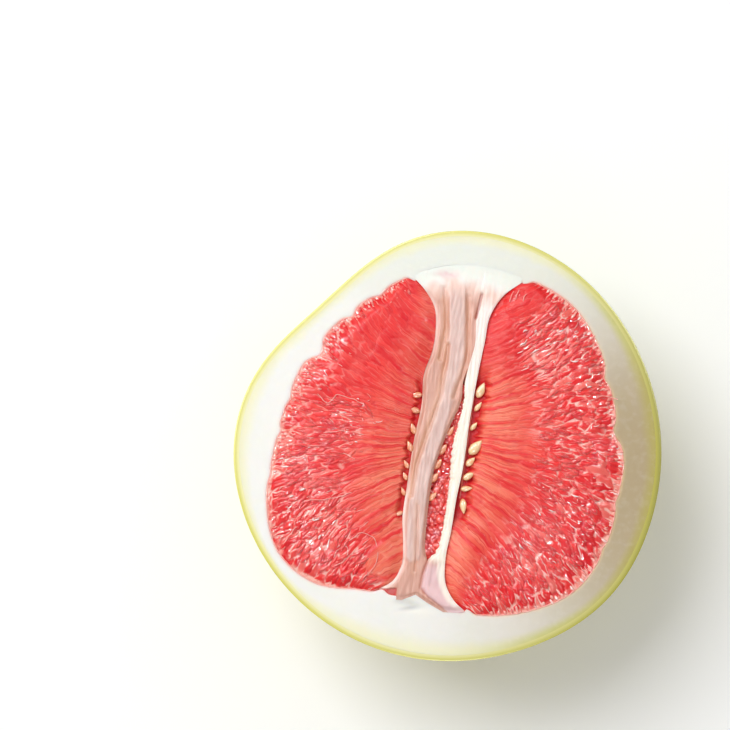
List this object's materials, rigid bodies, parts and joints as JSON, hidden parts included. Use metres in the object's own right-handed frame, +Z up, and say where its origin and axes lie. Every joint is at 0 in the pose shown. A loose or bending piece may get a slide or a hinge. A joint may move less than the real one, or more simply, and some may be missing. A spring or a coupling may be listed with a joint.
{
  "type": "halved pomelo",
  "caption": "Half of a ripe pomelo lying cut face up: yellow-green peel, thick white pith, coral-red flesh in two lobes, folded core with a slit, and pale seeds.",
  "frame": {"origin": "centre of the flat spot of the round back that the half rests on, under the middle of the cut face", "axes": "+Z up, square to the cut face; +Y along the core towards the stem end; +X across the face, to the right seen from above with the stem end away"},
  "size_m": [0.15, 0.1517, 0.0771],
  "materials": {
    "peel": "waxy yellow-green citrus peel with fine green oil glands and a soft sheen",
    "pith": "matte spongy white, faintly green towards the peel",
    "flesh": "wet coral-red juice sacs with pale pink skins and small sharp glints",
    "flesh_deep": "wet deep red juice sacs in shade",
    "membrane": "moist pinkish cream membrane with long tan folds",
    "seed": "satin pale yellow-cream seed coat"
  },
  "bodies": {
    "root": {"peel": "peel", "pith": "pith", "pulp_left": "flesh", "pulp_right": "flesh", "pulp_middle": "flesh_deep", "core": "membrane", "seed_row_left": "seed", "seed_row_middle": "seed", "seed_row_right": "seed"}
  },
  "joints": []
}
